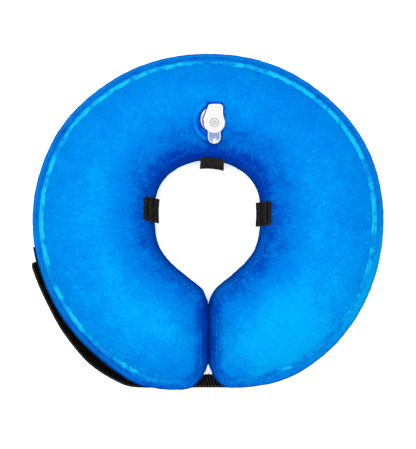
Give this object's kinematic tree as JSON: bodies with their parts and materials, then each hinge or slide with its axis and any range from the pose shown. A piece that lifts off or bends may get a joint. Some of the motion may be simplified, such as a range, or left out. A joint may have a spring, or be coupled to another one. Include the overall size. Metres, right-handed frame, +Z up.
{
  "type": "inflatable recovery collar",
  "caption": "Inflated plush ring collar for a pet's neck, open along a slit, with a hook strap, webbing loops and an air valve.",
  "frame": {"origin": "on the surface that the collar lies on, below the middle of its outline", "axes": "+Z up through the neck hole, +Y to the back where the valve is, the slit at -Y, +X to the right seen from above with the slit nearest"},
  "size_m": [0.4066, 0.387, 0.1116],
  "materials": {
    "plush": "short blue nap",
    "seam_plush": "raised blue nap that catches the light",
    "webbing": "ribbed black webbing",
    "hook_tape": "black hook and loop tape",
    "clear_pvc": "milky clear soft plastic"
  },
  "bodies": {
    "root": {"top_panel": "plush", "bottom_panel": "plush", "outer_band": "plush", "neck_band": "plush", "upper_seam": "seam_plush", "lower_seam": "seam_plush", "strap": "hook_tape", "landing_strip": "hook_tape", "loop_top": "webbing", "loop_left": "webbing", "loop_right": "webbing", "valve_body": "clear_pvc", "valve_stopper": "clear_pvc"}
  },
  "joints": []
}
